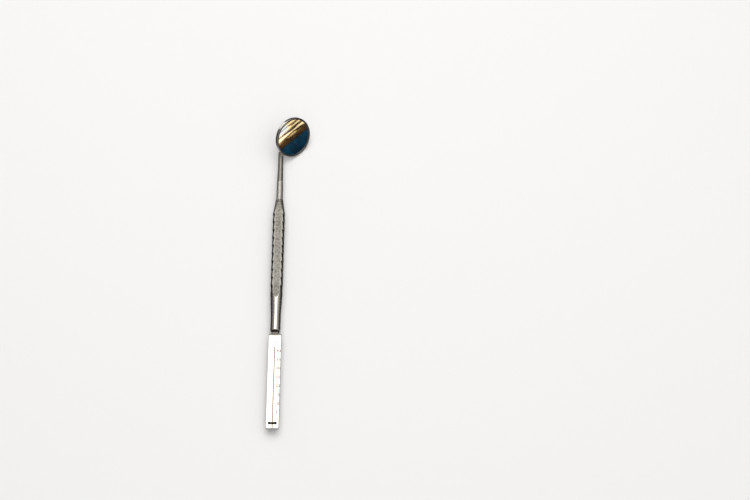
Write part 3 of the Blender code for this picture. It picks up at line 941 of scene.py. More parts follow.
@dataclass
class Handle:
    """The turned and milled bar, the measuring blade with its scale and stop, and the braze."""

    axis_height: float
    mouth: float
    shaft_end: float
    blade_tip: float

    steps: int = 192
    seat_gap: float = 0.05 * MM
    shaft_length: float = 18.9 * MM
    shaft_radius: float = 2.65 * MM
    shaft_straight: float = 9.5 * MM
    swell_straight: float = 0.35
    shaft_end_cut: float = 0.25 * MM
    shaft_end_round: float = 0.3 * MM
    grip_radius: float = 3.36 * MM
    flat_height: float = 2.34 * MM
    flat_edge: float = 0.12 * MM
    run_out: float = 6.7 * MM
    last_crest_at: float = 2.7 * MM
    last_crest_drop: float = 0.13 * MM
    bead_count: int = 10
    bead_pitch: float = 4.86 * MM
    bead_depth: float = 0.27 * MM
    bead_crest: float = 1.1 * MM
    bead_crown: float = 0.03 * MM
    bead_drop: float = 0.45 * MM
    fall_power: float = 1.2
    first_bead: float = 1.8 * MM
    # the painted shade in the bead roots: where it starts before the flats, and its depth over the
    # roots
    root_shade_before: float = 1.5 * MM
    root_shade_depth: float = 0.02 * MM
    flare_length: float = 7.8 * MM
    flare_shoulder_radius: float = 3.1 * MM
    flare_round: float = 1.2 * MM
    flare_end_radius: float = 2.05 * MM
    step_round: float = 0.06 * MM
    neck_length: float = 11.9 * MM
    ring_spacing: float = 0.25 * MM
    neck_root_radius: float = 1.83 * MM
    neck_mouth_radius: float = 1.68 * MM
    mouth_round: float = 0.12 * MM
    socket_radius: float = 1.05 * MM
    socket_round: float = 0.08 * MM
    socket_depth: float = 4.15 * MM
    tang_width: float = 2.8 * MM
    tang_length: float = 9.0 * MM

    blade_length: float = 54.4 * MM
    blade_width: float = 6.65 * MM
    blade_thickness: float = 1.8 * MM
    blade_shoulder_cut: float = 1.1 * MM
    shoulder_rounds: Ends = (0.3 * MM, 0.2 * MM)
    blade_tip_cut: float = 0.4 * MM
    blade_edge: float = 0.12 * MM
    blade_crease: float = math.radians(12)
    shoulder_slope: float = 1.9 * MM
    shoulder_fall: float = 0.6 * MM
    tang_step: float = 0.03 * MM
    groove_length: float = 46.2 * MM
    groove_width: float = 0.56 * MM
    groove_depth: float = 0.4 * MM
    groove_run_out: float = 0.5 * MM
    scale_zero: float = 3.57 * MM
    stop_across: float = 4.7 * MM
    stop_along: float = 1.45 * MM
    stop_waist: float = 0.34 * MM
    stop_round: float = 0.12 * MM
    stop_depth: float = 0.9 * MM
    stop_proud: float = 0.3 * MM
    braze_wall: float = 0.35 * MM

    scale_readings: int = 45
    figure_every: int = 5
    figure_height: float = 1.7 * MM
    figure_place: float = 2.1 * MM
    figure_weight: float = 0.025
    tick_start: float = 0.34 * MM
    tick_width: float = 0.18 * MM
    tick_lengths: dict[Tick, float] = field(
        default_factory=lambda: {Tick.SHORT: 0.5 * MM, Tick.LONG: 0.85 * MM}
    )
    mark_depth: float = 0.03 * MM
    mark_proud: float = 0.004 * MM
    dot_place: float = 0.95 * MM
    dot_radius: float = 0.34 * MM

    maker: Maker = field(default_factory=lambda: Maker(Body.HANDLE))

    @property
    def flat_start(self) -> float:
        """Where each flat leaves its run-out."""
        return self.shaft_end + self.shaft_length + self.run_out

    @property
    def root_radius(self) -> float:
        """The grip's radius between its beads."""
        return self.grip_radius - self.bead_depth

    @property
    def run_out_slope(self) -> float:
        """How steeply each flat rises out of the metal."""
        return (self.root_radius - self.flat_height) / self.run_out

    @property
    def blade_top(self) -> float:
        """Where the blade's shoulders end."""
        return self.blade_tip + self.blade_length

    @property
    def tang_slot(self) -> Ends:
        """The tang's slot: its width and height."""
        return self.tang_width + 2 * self.seat_gap, self.blade_thickness + 2 * self.seat_gap

    @property
    def place(self) -> Matrix:
        """The handle's axis, at its height over the origin."""
        return Matrix.Translation((0, 0, self.axis_height))

    def bead(self, middle: float) -> Outline:
        """One bead: a short steep side, a crowned crest and a long fall towards the mirror.

        Args:
            middle: The crest's middle along the handle.

        Returns:
            Its part of the outline, in order towards the mirror.
        """
        shoulder = self.grip_radius - self.bead_crown
        half = self.bead_crest / 2
        foot = middle - half - self.bead_drop
        steep = swept((foot, self.root_radius), (middle - half, shoulder), 6)
        crest = [
            (middle + half * share, self.grip_radius - self.bead_crown * share**2)
            for share in run(-1, 1, 8)
        ]
        fall = swept(
            (middle + half, shoulder),
            (foot + self.bead_pitch, self.root_radius),
            9,
            lambda share: share**self.fall_power,
        )
        return steep + crest + fall

    def bar_outline(self) -> Outline:
        """The bar's outline from the shaft's end to the bottom of the socket."""
        straight_end = (self.shaft_end + self.shaft_straight, self.shaft_radius)
        run_out_start = (self.flat_start - self.run_out, self.root_radius)
        last_crest = (
            run_out_start[0] + self.last_crest_at,
            self.grip_radius - self.last_crest_drop,
        )
        first_root = (
            self.flat_start + self.first_bead - self.bead_crest / 2 - self.bead_drop,
            self.root_radius,
        )
        shaft = filleted(
            [
                (self.shaft_end, self.shaft_radius - self.shaft_end_cut, 0),
                (self.shaft_end + self.shaft_end_cut, self.shaft_radius, self.shaft_end_round),
                (*straight_end, 0),
            ]
        )
        straight_share = self.swell_straight
        points = shaft[:-1] + swept(
            straight_end,
            run_out_start,
            12,
            lambda share: straight_share * share + (1 - straight_share) * eased(share),
        )
        points += swept(run_out_start, last_crest, 8) + swept(last_crest, first_root, 10)
        for index in range(self.bead_count):
            points += self.bead(self.flat_start + self.first_bead + index * self.bead_pitch)
        last_middle = self.flat_start + self.first_bead + (self.bead_count - 1) * self.bead_pitch
        shoulder_end = last_middle + self.bead_crest / 2
        points = [point for point in points if point[0] < shoulder_end]
        flare_start = last_middle + self.bead_crest
        flare_end = flare_start + self.flare_length
        neck = filleted(
            [
                (shoulder_end, self.grip_radius - self.bead_crown, 0),
                (flare_start, self.flare_shoulder_radius, self.flare_round),
                (flare_end, self.flare_end_radius, self.step_round),
                (flare_end, self.neck_root_radius, 0),
                (self.mouth, self.neck_mouth_radius, self.mouth_round),
                (self.mouth, self.socket_radius, self.socket_round),
                (self.mouth - self.socket_depth, self.socket_radius, 0),
                (self.mouth - self.socket_depth, 0, 0),
            ],
            10,
        )
        return points + neck

    def flat_limit(self, along: float) -> float:
        """How high each flat leaves the metal over the axis, at a place along the handle."""
        return self.flat_height + self.run_out_slope * max(0.0, self.flat_start - along)

    def mill_flat(self, shape: bmesh.types.BMesh, side: Side) -> None:
        """Mill one flat: plane down what stands over it, with its edge rounded off.

        Args:
            shape: The turned bar.
            side: Which flat.
        """
        for vertex in shape.verts:
            limit = self.flat_limit(vertex.co.y)
            over = (vertex.co.z * side.value - limit) / self.flat_edge
            if over > 1:
                vertex.co.z = side.value * limit
            elif over > -1:
                vertex.co.z = side.value * (limit - self.flat_edge * (1 - over) ** 2 / 4)

    def make_bar(self) -> None:
        """The bar, turned, cut off square, slotted for the tang and milled on two sides."""
        flare_end = self.mouth - self.neck_length
        outline = ringed(self.bar_outline(), self.flat_start, flare_end, self.ring_spacing)
        shape = turned(outline, self.steps, Vector((0, 1, 0)))
        whole = list(shape.faces)
        cut_edge(shape, whole, Vector((0, self.flat_start, 0)), Vector((0, 1, 0)))
        for side in Side:
            self.mill_flat(shape, side)
        window = window_in(shape, self.tang_slot, self.shaft_end)
        walls = bmesh.ops.extrude_edge_only(shape, edges=window)["geom"]
        floor = [item for item in walls if isinstance(item, bmesh.types.BMEdge)]
        corners = [item for item in walls if isinstance(item, bmesh.types.BMVert)]
        slot_end = self.blade_top + self.tang_length + self.seat_gap
        bmesh.ops.translate(shape, verts=corners, vec=(0, slot_end - self.shaft_end, 0))
        floor = [edge for edge in floor if all(vertex in corners for vertex in edge.verts)]
        bmesh.ops.edgeloop_fill(shape, edges=floor)
        finish = GripSteel(
            axis_height=self.axis_height,
            flat_height=self.flat_height,
            flat_start=self.flat_start,
            slope=self.run_out_slope,
            flare_start=flare_end - self.flare_length,
            flare_end=flare_end,
            grip_start=self.flat_start - self.root_shade_before,
            root_radius=self.root_radius + self.root_shade_depth,
            crest_radius=self.grip_radius - self.bead_crown,
        )
        self.maker.piece(
            "grip_and_shaft", shape, self.place, finish, Slot.HANDLE, ["handle_bar"]
        )

    def blade_outline(self) -> Outline:
        """The blade and its tang from above, with small rounds at the tip."""
        half = self.blade_width / 2
        tang = self.tang_width / 2
        right = filleted(
            [
                (0, self.blade_tip, 0),
                (half, self.blade_tip, self.blade_tip_cut),
                (half, self.blade_top - self.blade_shoulder_cut, self.shoulder_rounds[0]),
                (half - self.blade_shoulder_cut, self.blade_top, self.shoulder_rounds[1]),
                (tang, self.blade_top, 0),
                (tang, self.blade_top + self.tang_length, 0),
                (0, self.blade_top + self.tang_length, 0),
            ]
        )
        right = right[1:-1]
        return right + [(-x, y) for x, y in reversed(right)]

    def make_blade(self) -> None:
        """The blade: bevelled all round, sloped at its shoulders and grooved down its middle."""
        top = self.blade_thickness / 2
        shape = prism(self.blade_outline(), -top, self.blade_thickness)
        rims = [
            edge
            for edge in shape.edges
            if abs(edge.verts[0].co.z - edge.verts[1].co.z) < MERGE
            and max(vertex.co.y for vertex in edge.verts) < self.blade_top + MERGE
        ]
        bevelled(shape, rims, self.blade_edge)
        slope_start = self.blade_top - self.shoulder_slope
        groove_end = self.blade_tip + self.groove_length
        half_groove = self.groove_width / 2
        for place in (
            slope_start,
            self.blade_top,
            self.blade_top + self.tang_step,
            groove_end,
            groove_end - self.groove_run_out,
        ):
            cut_edge(shape, shape.faces, Vector((0, place, 0)), Vector((0, 1, 0)))
        for place in (-half_groove, 0, half_groove):
            cut_edge(shape, shape.faces, Vector((place, 0, 0)), Vector((1, 0, 0)))
        for vertex in shape.verts:
            upper = vertex.co.z > top - self.blade_edge - MERGE
            if upper and slope_start < vertex.co.y < self.blade_top + MERGE:
                past = (vertex.co.y - slope_start) / self.shoulder_slope
                vertex.co.z -= self.shoulder_fall * past
            in_groove = abs(vertex.co.x) < MERGE and vertex.co.z > top - MERGE
            if in_groove and vertex.co.y < groove_end - self.groove_run_out + MERGE:
                vertex.co.z -= self.groove_depth
        finish = BrushedSteel(self.axis_height + top, self.groove_width / 2)
        self.maker.piece(
            "measuring_blade",
            shape,
            self.place,
            finish,
            Slot.BLADE,
            ["ruler_blade"],
            self.blade_crease,
        )

    def stop_outline(self) -> Outline:
        """The stop from above: round ends and a slightly narrower middle."""
        radius = self.stop_along / 2
        middle = self.blade_tip + self.scale_zero - radius
        straight = self.stop_across / 2 - radius
        points: Outline = []
        for side, start in ((1, -math.pi / 2), (-1, math.pi / 2)):
            for share in run(0, 1, 12) + [1.0]:
                angle = start + math.pi * share
                points.append(
                    (side * straight + radius * math.cos(angle), middle + radius * math.sin(angle))
                )
            waist = middle + side * (radius - self.stop_waist / 2)
            points += [(side * straight * share, waist) for share in (0.55, 0, -0.55)]
        return points

    def make_stop(self) -> None:
        """The stop across the blade, its upper edge rounded over."""
        top = self.blade_thickness / 2
        shape = prism(self.stop_outline(), top - self.stop_depth, self.stop_depth + self.stop_proud)
        rim = [
            edge
            for edge in shape.edges
            if min(vertex.co.z for vertex in edge.verts) > top + self.stop_proud - MERGE
        ]
        bevelled(shape, rim, self.stop_round)
        self.maker.piece("stop_bar", shape, self.place, STOP_METAL, Slot.STOP, ["zero_stop"])

    def make_braze(self) -> None:
        """The brazed collar: hollow-sided, from the shaft's end down to the blade's shoulders."""
        high = self.shaft_end - self.seat_gap
        low = self.blade_top + self.seat_gap
        wide = self.shaft_radius - self.shaft_end_cut
        slim = self.tang_width / 2 + self.braze_wall
        outline = [
            (
                high + (low - high) * share,
                wide + (slim - wide) * math.sin(share * math.pi / 2),
            )
            for share in run(0, 1, 10) + [1.0]
        ]
        shape = turned(outline, self.steps // 2, Vector((0, 1, 0)))
        windows = [
            edge for place in (high, low) for edge in window_in(shape, self.tang_slot, place)
        ]
        bmesh.ops.bridge_loops(shape, edges=windows)
        self.maker.piece("braze_collar", shape, self.place, BRAZE_WITH_PAINTED_SHADE, Slot.BRAZE, ["tang_braze"])

    def mark(self, low: tuple[float, float], high: tuple[float, float]) -> bmesh.types.BMesh:
        """One engraved line, filled level with the blade's face."""
        top = self.blade_thickness / 2
        outline = [low, (high[0], low[1]), high, (low[0], high[1])]
        return prism(outline, top - self.mark_depth, self.mark_depth + self.mark_proud)

    def make_ticks(self) -> None:
        """A line for each millimetre, longer at the figures."""
        zero = self.blade_tip + self.scale_zero
        joined = bmesh.new()
        for reading in range(1, self.scale_readings + 1):
            kind = Tick.SHORT if reading % self.figure_every else Tick.LONG
            middle = zero + reading * MM
            low = (self.tick_start, middle - self.tick_width / 2)
            high = (self.tick_start + self.tick_lengths[kind], middle + self.tick_width / 2)
            add_shape(joined, self.mark(low, high))
        self.maker.piece("scale_ticks", joined, self.place, MarkingInk(), None)

    def make_figures(self) -> None:
        """The figures beside every fifth line, upright with the mirror away from the reader."""
        zero = self.blade_tip + self.scale_zero
        top = self.blade_thickness / 2
        joined = bmesh.new()
        for reading in range(self.figure_every, self.scale_readings, self.figure_every):
            figure = figure_shape(
                str(reading),
                self.figure_height,
                self.mark_depth + self.mark_proud,
                self.figure_weight,
            )
            place = Vector((self.figure_place, zero + reading * MM, top - self.mark_depth))
            bmesh.ops.translate(figure, verts=figure.verts[:], vec=place)
            add_shape(joined, figure)
        self.maker.piece("scale_figures", joined, self.place, MarkingInk(), None)

    def make_dot(self) -> None:
        """The round mark at the scale's end."""
        top = self.blade_thickness / 2
        place = self.blade_tip + self.scale_zero + self.scale_readings * MM
        outline = [
            (
                self.dot_place + self.dot_radius * math.cos(angle),
                place + self.dot_radius * math.sin(angle),
            )
            for angle in run(0, math.tau, 24)
        ]
        shape = prism(outline, top - self.mark_depth, self.mark_depth + self.mark_proud)
        self.maker.piece("scale_dot", shape, self.place, MarkingInk(), None)

    def make(self) -> None:
        """Make every piece of the handle."""
        self.make_bar()
        self.make_blade()
        self.make_stop()
        self.make_braze()
        self.make_ticks()
        self.make_figures()
        self.make_dot()


def add_shape(whole: bmesh.types.BMesh, part: bmesh.types.BMesh) -> None:
    """Copy a part's mesh into the whole, and free the part."""
    carrier = bpy.data.meshes.new("carrier")
    part.to_mesh(carrier)
    part.free()
    whole.from_mesh(carrier)
    bpy.data.meshes.remove(carrier)


def figure_shape(text: str, height: float, depth: float, weight: float) -> bmesh.types.BMesh:
    """Plain figures as a thin closed mesh, centred on its own origin.

    Args:
        text: The figures.
        height: Their height.
        depth: The mesh's thickness, from 0 upwards.
        weight: How much the strokes are thickened, as a share of the type's size.

    Returns:
        The mesh.
    """
    curve = bpy.data.curves.new("figures", "FONT")
    curve.body = text
    curve.align_x = "CENTER"
    curve.align_y = "CENTER"
    curve.extrude = 0.5
    curve.offset = weight
    curve.resolution_u = 4
    carrier = bpy.data.objects.new("figures", curve)
    bpy.context.scene.collection.objects.link(carrier)
    graph = bpy.context.evaluated_depsgraph_get()
    mesh = bpy.data.meshes.new_from_object(carrier.evaluated_get(graph))
    shape = bmesh.new()
    shape.from_mesh(mesh)
    bpy.data.objects.remove(carrier)
    bpy.data.curves.remove(curve)
    bpy.data.meshes.remove(mesh)
    bmesh.ops.remove_doubles(shape, verts=shape.verts[:], dist=1e-5)
    tall = max(vertex.co.y for vertex in shape.verts) - min(vertex.co.y for vertex in shape.verts)
    factor = height / tall
    bmesh.ops.scale(shape, verts=shape.verts[:], vec=(factor, factor, depth))
    bmesh.ops.translate(shape, verts=shape.verts[:], vec=(0, 0, depth / 2))
    return shape


# ---------------------------------------------------------------------------------------------
# Mirror head
# ---------------------------------------------------------------------------------------------


@dataclass
class MirrorHead:
    """The threaded stem, the weld, the rolled cup and the glass, on the turning axis."""

    mouth: float
    axis_height: float

    steps: int = 192
    stem_steps: int = 96
    seat_gap: float = 0.05 * MM
    thread_length: float = 3.5 * MM
    thread_pitch: float = 0.4 * MM
    thread_radius: float = 0.98 * MM
    thread_height: float = 0.18 * MM
    stem_shoulder_radius: float = 1.63 * MM
    stem_radius: float = 1.4 * MM
    stem_taper: float = 8.5 * MM
    stem_length: float = 19.1 * MM
    head_radius: float = 11.35 * MM
    cup_wall: float = 0.3 * MM
    cup_bend: float = 0.5 * MM
    lip_width: float = 1.05 * MM
    lip_thickness: float = 0.3 * MM
    lip_outer_round: float = 0.42 * MM
    lip_inner_round: float = 0.28 * MM
    glass_thickness: float = 1.0 * MM
    glass_under_lip: float = 0.3 * MM
    glass_chamfer: float = 0.1 * MM
    pad_thickness: float = 0.3 * MM
    face_tilt: float = math.radians(37.5)
    head_turn: float = math.radians(51.3)
    cup_over_stem: float = 1.0 * MM
    cup_edge_before_tip: float = 1.5 * MM
    weld_size: tuple[float, float, float] = (3.1 * MM, 1.9 * MM, 1.7 * MM)
    weld_over_stem: float = 1.15 * MM
    weld_before_tip: float = 2.1 * MM

    maker: Maker = field(default_factory=lambda: Maker(Body.HEAD))

    @property
    def glass_face(self) -> float:
        """The glass's face under the lip's, which stands at 0."""
        return -(self.lip_thickness + self.seat_gap)

    @property
    def glass_back(self) -> float:
        """The glass's back."""
        return self.glass_face - self.glass_thickness

    @property
    def cup_floor(self) -> float:
        """The cup's floor under the pad."""
        return self.glass_back - self.pad_thickness - 2 * self.seat_gap

    @property
    def cup_back(self) -> float:
        """The cup's back."""
        return self.cup_floor - self.cup_wall

    @property
    def turn(self) -> Matrix:
        """The turning axis: at the handle's mouth, turned as the head stands."""
        return Matrix.Translation((0, self.mouth, self.axis_height)) @ Matrix.Rotation(
            self.head_turn, 4, "Y"
        )

    @property
    def face(self) -> Matrix:
        """The middle of the lip's face, with +Z out of the mirror."""
        rise = (
            self.cup_over_stem
            + self.head_radius * math.sin(self.face_tilt)
            - self.cup_back * math.cos(self.face_tilt)
        )
        reach = (
            self.stem_length
            - self.cup_edge_before_tip
            + self.head_radius * math.cos(self.face_tilt)
            + self.cup_back * math.sin(self.face_tilt)
        )
        return (
            self.turn
            @ Matrix.Translation((0, reach, rise))
            @ Matrix.Rotation(self.face_tilt, 4, "X")
        )

    def stem_outline(self) -> Outline:
        """The stem's outline, with close rings along the thread."""
        core = self.thread_radius - self.thread_height
        rings = round(self.thread_length / self.thread_pitch * 12)
        stub = [(place, core) for place in run(-self.thread_length + 0.12 * MM, 0, rings)]
        stub = [(-self.thread_length, 0), (-self.thread_length, core - 0.12 * MM)] + stub
        rod = filleted(
            [
                (self.seat_gap, core, 0),
                (self.seat_gap, self.stem_shoulder_radius, 0.12 * MM),
                (self.seat_gap + self.stem_taper, self.stem_radius, 40 * MM),
                (self.stem_length, self.stem_radius, 0.45 * MM),
                (self.stem_length, 0, 0),
            ],
            8,
        )
        return stub + rod

    def make_stem(self) -> None:
        """The stem, with its thread raised in one helix round the stub."""
        shape = turned(self.stem_outline(), self.stem_steps, Vector((0, 1, 0)))
        first = -self.thread_length + self.thread_pitch / 2
        last = -self.thread_pitch
        for vertex in shape.verts:
            place = vertex.co.y
            radius = math.hypot(vertex.co.x, vertex.co.z)
            if not first < place < last or radius < MERGE:
                continue
            turn = math.atan2(vertex.co.x, vertex.co.z) / math.tau
            phase = (place / self.thread_pitch - turn) % 1
            ridge = 1 - abs(2 * phase - 1)
            fade = min(1.0, (place - first) / self.thread_pitch, (last - place) / self.thread_pitch)
            grown = 1 + self.thread_height * ridge * fade / radius
            vertex.co.x *= grown
            vertex.co.z *= grown
        edge = self.stem_length - self.cup_edge_before_tip
        for vertex in shape.verts:
            under = self.cup_over_stem + (vertex.co.y - edge) * math.tan(self.face_tilt)
            if vertex.co.y > edge and vertex.co.z > under - self.seat_gap:
                vertex.co.z = under - self.seat_gap
        self.maker.piece("turned_stem", shape, self.turn, STEM_STEEL_WITH_PAINTED_SHADE, Slot.STEM, ["mirror_stem"])

    def make_weld(self) -> None:
        """The weld's smooth fillet in the corner between the stem and the cup."""
        shape = bmesh.new()
        bmesh.ops.create_uvsphere(shape, u_segments=48, v_segments=24, radius=0.5)
        bmesh.ops.scale(shape, verts=shape.verts[:], vec=self.weld_size)
        place = self.turn @ Matrix.Translation(
            (0, self.stem_length - self.weld_before_tip, self.weld_over_stem)
        )
        self.maker.piece("weld_fillet", shape, place, WELD_STEEL, Slot.STEM, ["stem_weld"])

    def make_cup(self) -> None:
        """The cup: pressed back, round bend, straight wall and a lip rolled over the glass."""
        lip = self.head_radius - self.lip_width
        pocket = self.head_radius - self.cup_wall
        outline = filleted(
            [
                (self.cup_back, 0, 0),
                (self.cup_back, self.head_radius, self.cup_bend),
                (0, self.head_radius, self.lip_outer_round),
                (0, lip, self.lip_inner_round),
                (-self.lip_thickness, lip, 0),
                (-self.lip_thickness, pocket, 0),
                (self.cup_floor, pocket, 0.15 * MM),
                (self.cup_floor, 0, 0),
            ],
            10,
        )
        shape = turned(outline, self.steps, Vector((0, 0, 1)))
        centre = self.face @ Vector((0, 0, 0))
        finish = CupSteel(centre=tuple(centre), lip_radius=self.head_radius)
        self.maker.piece("rolled_cup", shape, self.face, finish, Slot.CUP, ["mirror_cup"])

    def make_glass(self) -> None:
        """The glass, coated on its face, with its edges ground."""
        radius = self.head_radius - self.lip_width + self.glass_under_lip
        outline = filleted(
            [
                (self.glass_back, 0, 0),
                (self.glass_back, radius, self.glass_chamfer),
                (self.glass_face, radius, self.glass_chamfer),
                (self.glass_face, 0, 0),
            ],
            1,
        )
        shape = turned(outline, self.steps, Vector((0, 0, 1)))
        centre = self.face @ Vector((0, 0, self.glass_face))
        finish = MirrorCoating(tuple(centre), radius - self.glass_chamfer)
        self.maker.piece("coated_glass", shape, self.face, finish, Slot.MIRROR, ["mirror_glass"])

    def make(self) -> None:
        """Make every piece of the head, and dress the two that the cup hides."""
        self.make_stem()
        self.make_weld()
        self.make_cup()
        self.make_glass()
        self.maker.dress("backing_pad", PAD_SHEET)
        self.maker.dress("edge_seal", SEAL_RESIN)


# ---------------------------------------------------------------------------------------------
# Studio
# ---------------------------------------------------------------------------------------------


# Each list runs from 0 to 1: the room from the horizon to straight up, the screen from its foot
# to its top, and the bars from the gaps to their middles.
ROOM_COLOURS: Stops = [
    (0.0, (0.05, 0.049, 0.047)),
    (0.22, (0.22, 0.215, 0.205)),
    (0.55, (0.50, 0.49, 0.48)),
    (1.0, (0.7, 0.7, 0.7)),
]
SCREEN_COLOURS: Stops = [
    (0.0, (0.003, 0.018, 0.032)),
    (0.30, (0.005, 0.030, 0.060)),
    (0.455, (0.008, 0.048, 0.088)),
    (0.47, (0.030, 0.015, 0.005)),
    (0.49, (0.075, 0.038, 0.014)),
    (1.0, (0.14, 0.075, 0.028)),
]
BAR_COLOURS: Stops = [
    (0.0, (0.01, 0.005, 0.002)),
    (0.40, (0.010, 0.005, 0.002)),
    (0.46, (0.45, 0.22, 0.04)),
    (0.54, (1.1, 0.70, 0.22)),
    (0.75, (1.35, 0.98, 0.50)),
    (1.0, (1.6, 1.4, 1.0)),
]
WHITE_COLOURS: Stops = [
    (0.0, (0.008, 0.008, 0.007)),
    (0.40, (0.012, 0.012, 0.010)),
    (0.50, (1.1, 1.1, 1.05)),
]


@dataclass
class Studio:
    """A pale floor, soft light and the camera."""

    shaft_end: float
    axis_height: float
    floor_height: float

    camera_elevation: float = math.radians(62.6)
    camera_distance: float = 0.856
    camera_aside: float = 0.0532
    camera_along: float = 0.0489
    lens: float = 75.0
    sensor: float = 36.0
    floor_half: float = 3.0
    light_colour: Colour = (1.0, 0.985, 0.96)
    front_edge: Ends = (-0.9, -0.1)
    front_share: Ends = (0.55, 0.0)
    left_edge: Ends = (-0.5, -0.1)
    left_share: Ends = (0.45, 0.0)
    back_edge: Ends = (0.05, 0.35)
    side_edge: Ends = (-0.85, -0.6)
    horizon: Ends = (-0.05, 0.02)
    card_side_edge: Ends = (-0.5, -0.35)
    card_near_edge: Ends = (0.50, 0.56)
    card_foot_edge: Ends = (0.02, 0.07)
    card_top_edge: Ends = (0.36, 0.46)
    screen_foot_edge: Ends = (-0.135, -0.105)
    screen_top_edge: Ends = (-0.068, -0.065)
    screen_side_edge: Ends = (0.80, 0.84)
    screen_near_edge: Ends = (-0.56, -0.52)
    screen_far_edge: Ends = (-0.30, -0.26)
    bars_edge: Ends = (-0.0835, -0.0829)
    bar_shift: Ends = (0.0, 1.3)
    bar_count: float = 430.0
    bar_drift: tuple[float, float, float] = (40.0, 40.0, 300.0)
    white_foot_edge: Ends = (-0.0798, -0.0788)
    white_side_edge: Ends = (-0.4185, -0.4165)
    cloud_edge: Ends = (0.40, 0.60)
    cloud_share: Ends = (0.0, 0.5)
    cloud_scale: tuple[float, float, float] = (220.0, 220.0, 260.0)
    screen_shade: Colour = (0.006, 0.008, 0.008)
    backdrop: Colour = (0.62, 0.62, 0.615)
    card: Colour = (1.5, 1.48, 1.42)
    front_fill: Colour = (0.75, 0.75, 0.74)
    pale_below: Colour = (0.42, 0.42, 0.41)
    dark_below: Colour = (0.03, 0.029, 0.028)

    def make_camera(self) -> None:
        """The camera, level, looking down along the handle from its ruler end."""
        data = bpy.data.cameras.new("camera")
        data.lens = self.lens
        data.sensor_width = self.sensor
        data.clip_start = 0.01
        camera = bpy.data.objects.new("camera", data)
        bpy.context.scene.collection.objects.link(camera)
        target = Vector((self.camera_aside, self.shaft_end + self.camera_along, self.axis_height))
        back = Vector((0, -math.cos(self.camera_elevation), math.sin(self.camera_elevation)))
        camera.location = target + back * self.camera_distance
        camera.rotation_euler = (math.pi / 2 - self.camera_elevation, 0, 0)
        bpy.context.scene.camera = camera

    def make_floor(self) -> None:
        """A pale floor under the lowest point. Gloss shows the studio instead of it."""
        shape = bmesh.new()
        bmesh.ops.create_grid(shape, x_segments=1, y_segments=1, size=self.floor_half)
        mesh = bpy.data.meshes.new("floor")
        shape.to_mesh(mesh)
        shape.free()
        floor = bpy.data.objects.new("floor", mesh)
        floor.location = (0, 0, self.floor_height)
        bpy.context.scene.collection.objects.link(floor)
        surface = Surface("floor", 0.0)
        cloud = surface.noise((2.0, 2.0, 2.0), 1.0)
        surface.colour(surface.mixed(cloud, (0.86, 0.86, 0.87), (0.88, 0.88, 0.88)))
        surface.shader.inputs["Roughness"].default_value = 0.9
        mesh.materials.append(surface.material)
        floor.visible_glossy = False
        floor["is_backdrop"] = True

    def make_light(
        self,
        name: str,
        place: Sequence[float],
        size: tuple[float, float],
        power: float,
        mirrored: bool,
    ) -> None:
        """One soft rectangular light, turned to the object.

        Args:
            name: Its name.
            place: Where it hangs.
            size: Its width and depth.
            power: Its power in watts.
            mirrored: Whether gloss shows it.
        """
        data = bpy.data.lights.new(name, "AREA")
        data.shape = "RECTANGLE"
        data.size, data.size_y = size
        data.energy = power
        data.color = self.light_colour
        light = bpy.data.objects.new(name, data)
        bpy.context.scene.collection.objects.link(light)
        light.location = place
        light.rotation_euler = Vector(place).to_track_quat("Z", "Y").to_euler()
        light.visible_glossy = mirrored

    def room(
        self,
        tree: Tree,
        across: bpy.types.NodeSocket,
        along: bpy.types.NodeSocket,
        height: bpy.types.NodeSocket,
    ) -> bpy.types.NodeSocket:
        """The grey room, with a bright card low behind the object and to its left.

        Args:
            tree: The world's tree.
            across: The direction's part along X.
            along: Its part along Y.
            height: Its part along Z.

        Returns:
            The room's colour.
        """
        upper = tree.ramp(height, ROOM_COLOURS)
        upper = tree.mixed(
            tree.ranged(along, self.front_edge, self.front_share), upper, self.front_fill
        )
        upper = tree.mixed(
            tree.ranged(across, self.left_edge, self.left_share), upper, self.dark_below
        )
        lower = tree.mixed(
            tree.ranged(along, self.back_edge, ON), self.pale_below, self.dark_below
        )
        lower = tree.mixed(tree.ranged(across, self.side_edge, OFF), lower, self.dark_below)
        room = tree.mixed(tree.ranged(height, self.horizon, ON), lower, upper)
        card = tree.inside(
            (across, self.card_side_edge, OFF),
            (along, self.card_near_edge, ON),
            (height, self.card_foot_edge, ON),
            (height, self.card_top_edge, OFF),
        )
        return tree.mixed(card, room, self.card)

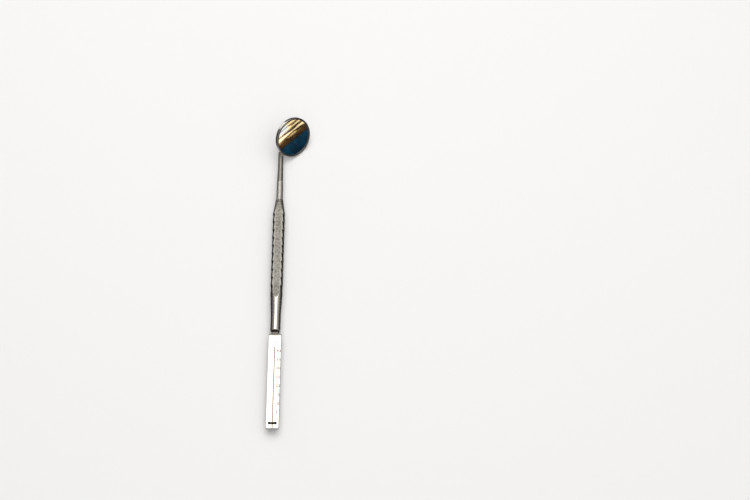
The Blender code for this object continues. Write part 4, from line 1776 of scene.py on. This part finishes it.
    def screen(
        self, tree: Tree, along: bpy.types.NodeSocket, height: bpy.types.NodeSocket
    ) -> bpy.types.NodeSocket:
        """The low screen: blue, then brown, then gold bars with a white corner.

        Args:
            tree: The world's tree.
            along: The direction's part along Y.
            height: Its part along Z.

        Returns:
            The screen's colour.
        """
        drift = tree.ranged(tree.noise(self.bar_drift, PLAIN), MOST, self.bar_shift, "LINEAR")
        phase = tree.reckoned("ADD", tree.reckoned("MULTIPLY", height, self.bar_count), drift)
        wave = tree.ranged(tree.reckoned("PINGPONG", phase, 0.5), (0.0, 0.5), ON, "LINEAR")
        bars = tree.ramp(wave, BAR_COLOURS)
        white = tree.inside((height, self.white_foot_edge, ON), (along, self.white_side_edge, OFF))
        bars = tree.mixed(white, bars, tree.ramp(wave, WHITE_COLOURS))
        whole = (self.screen_foot_edge[1], self.screen_top_edge[1])
        screen = tree.ramp(tree.ranged(height, whole, ON, "LINEAR"), SCREEN_COLOURS)
        clouds = tree.ranged(tree.noise(self.cloud_scale), self.cloud_edge, self.cloud_share)
        screen = tree.mixed(clouds, screen, self.screen_shade)
        return tree.mixed(tree.ranged(height, self.bars_edge, ON), screen, bars)

    def make_world(self) -> None:
        """The studio round the object, as its gloss shows it, with a barred screen to one side."""
        world = bpy.data.worlds.new("studio")
        bpy.context.scene.world = world
        world.use_nodes = True
        tree = Tree(world.node_tree, "Generated")
        axes = [tree.axis(letter) for letter in "XYZ"]
        across, along, height = axes
        room = self.room(tree, *axes)
        screen = self.screen(tree, along, height)
        seen = tree.inside(
            (height, self.screen_foot_edge, ON),
            (height, self.screen_top_edge, OFF),
            (across, self.screen_side_edge, ON),
            (along, self.screen_near_edge, ON),
            (along, self.screen_far_edge, OFF),
        )
        direct = tree.nodes.new("ShaderNodeLightPath").outputs["Is Camera Ray"]
        backdrop = tree.mixed(direct, tree.mixed(seen, room, screen), self.backdrop)
        background = tree.nodes["Background"]
        tree.links.new(backdrop, background.inputs["Color"])
        background.inputs["Strength"].default_value = 1.0

    def make(self) -> None:
        """Make the stage, the lights and the camera."""
        self.make_camera()
        self.make_floor()
        self.make_world()
        self.make_light("overhead", (0.0, 0.36, 0.85), (0.75, 0.75), 3.5, True)
        self.make_light("fill", (0.3, -0.2, 1.6), (2.0, 2.0), 10.2, False)
        bpy.context.scene.view_settings.view_transform = "Standard"


def main() -> None:
    """Build the looks in order."""
    logging.basicConfig(level=logging.INFO, format="%(message)s")
    cad_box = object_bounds()
    turning_point = Vector(frame["joints"][0]["pos_m"])
    blade_low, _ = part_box("ruler_blade")
    bar_low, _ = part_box("handle_bar")
    Handle(
        axis_height=turning_point.z,
        mouth=turning_point.y,
        shaft_end=bar_low.y,
        blade_tip=blade_low.y,
    ).make()
    MirrorHead(mouth=turning_point.y, axis_height=turning_point.z).make()
    Studio(
        shaft_end=bar_low.y, axis_height=turning_point.z, floor_height=cad_box[0].z
    ).make()


if __name__ == "__main__":
    main()
